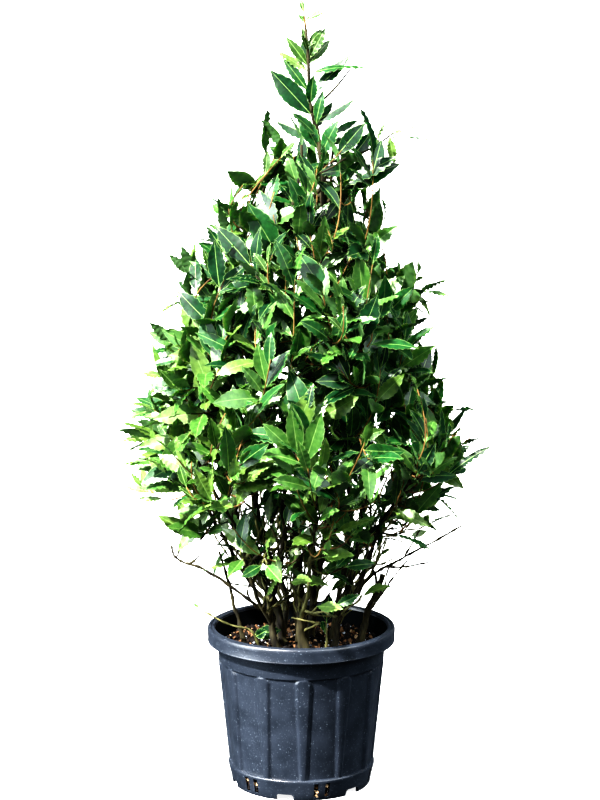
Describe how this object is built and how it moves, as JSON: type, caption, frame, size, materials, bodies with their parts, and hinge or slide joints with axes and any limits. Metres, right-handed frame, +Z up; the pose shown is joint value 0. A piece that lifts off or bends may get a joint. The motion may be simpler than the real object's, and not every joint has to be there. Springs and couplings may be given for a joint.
{
  "type": "bay laurel in a nursery pot",
  "caption": "Bay laurel grown as a loose leafy cone on several stems, in a round ribbed nursery pot filled with compost.",
  "frame": {"origin": "on the pot's axis, in the plane of the ground that the pot's foot stands on", "axes": "+Z up along the pot's axis and the plant's height; -Y is the side the picture looks at, with +X to its right"},
  "size_m": [0.5193, 0.5201, 1.1593],
  "materials": {
    "pot": "charcoal moulded plastic with a soft sheen, a little dusty",
    "compost": "dark moist potting compost with chips of bark",
    "bark": "thin dark grey-brown bark, greener and tan on young wood",
    "foliage": "glossy mid to dark green leaves with pale midribs, bright yellow-green when young"
  },
  "bodies": {
    "root": {"pot": "pot", "compost": "compost", "leader": "bark", "stem_1": "bark", "stem_2": "bark", "stem_3": "bark", "stem_4": "bark", "stem_5": "bark", "stem_6": "bark", "stem_7": "bark", "low_bough_1": "bark", "low_bough_2": "bark", "low_bough_3": "bark", "low_bough_4": "bark", "low_bough_5": "bark", "low_bough_6": "bark", "low_bough_7": "bark", "upper_bough_1": "bark", "upper_bough_2": "bark", "upper_bough_3": "bark", "upper_bough_4": "bark", "high_bough_1": "bark", "high_bough_2": "bark", "high_bough_3": "bark", "pruned_stub": "bark", "back_twig": "bark", "left_straight_twig": "bark", "left_low_shoot": "bark", "left_bare_twig": "bark", "right_bare_twig": "bark", "lower_foliage_1": "foliage", "lower_foliage_2": "foliage", "lower_foliage_3": "foliage", "lower_foliage_4": "foliage", "lower_foliage_5": "foliage", "lower_foliage_6": "foliage", "lower_foliage_7": "foliage", "middle_foliage_1": "foliage", "middle_foliage_2": "foliage", "middle_foliage_3": "foliage", "middle_foliage_4": "foliage", "middle_foliage_5": "foliage", "middle_foliage_6": "foliage", "middle_foliage_7": "foliage", "upper_foliage_1": "foliage", "upper_foliage_2": "foliage", "upper_foliage_3": "foliage", "upper_foliage_4": "foliage", "high_foliage_1": "foliage", "high_foliage_2": "foliage", "high_foliage_3": "foliage", "top_foliage_1": "foliage"}
  },
  "joints": []
}
